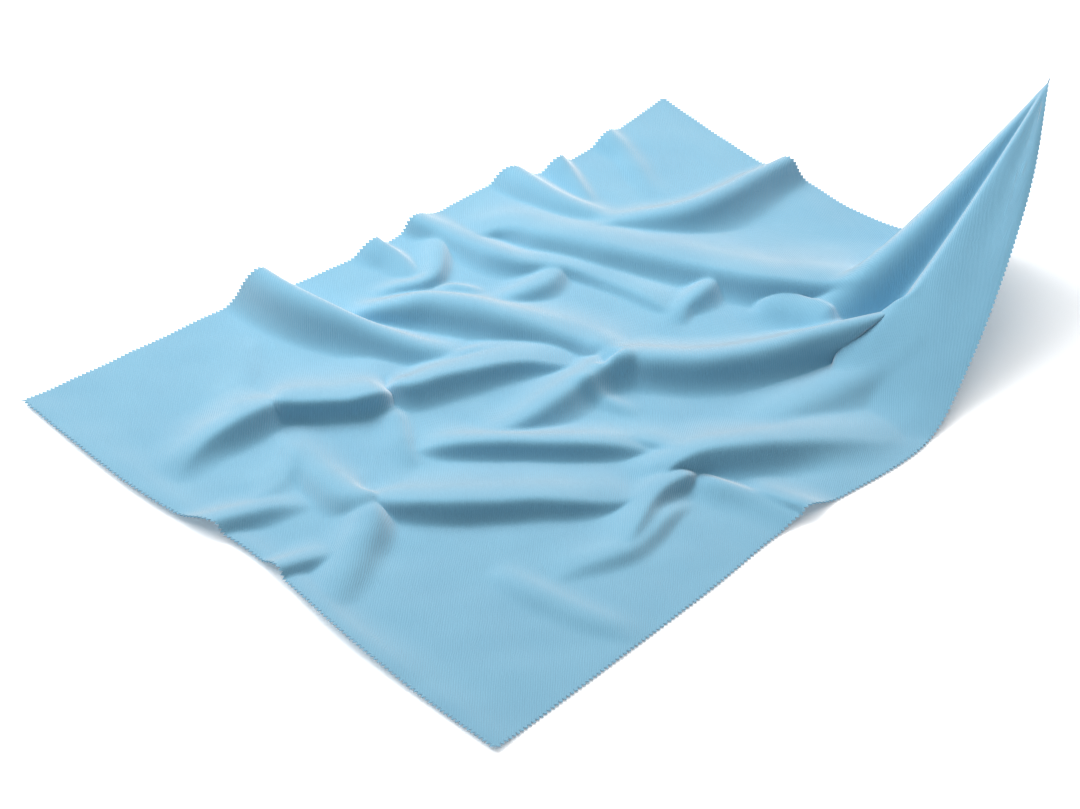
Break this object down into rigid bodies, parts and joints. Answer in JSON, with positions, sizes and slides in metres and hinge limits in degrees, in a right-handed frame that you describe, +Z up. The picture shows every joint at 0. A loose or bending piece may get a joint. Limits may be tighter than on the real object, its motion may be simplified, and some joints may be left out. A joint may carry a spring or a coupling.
{
  "type": "microfibre cloth",
  "caption": "Rectangular unhemmed microfibre cloth with cut edges, lying in soft folds on a surface with one corner lifted to a point.",
  "frame": {"origin": "middle of the outline's box, on the surface that the cloth lies on", "axes": "+X along the long sides towards the lifted corner's end, +Y across the cloth towards its far side, +Z up"},
  "size_m": [0.6852, 0.465, 0.1664],
  "materials": {
    "cloth": "soft matte knit, sky blue, the same on both faces"
  },
  "bodies": {
    "root": {"microfibre_cloth": "cloth"}
  },
  "joints": []
}
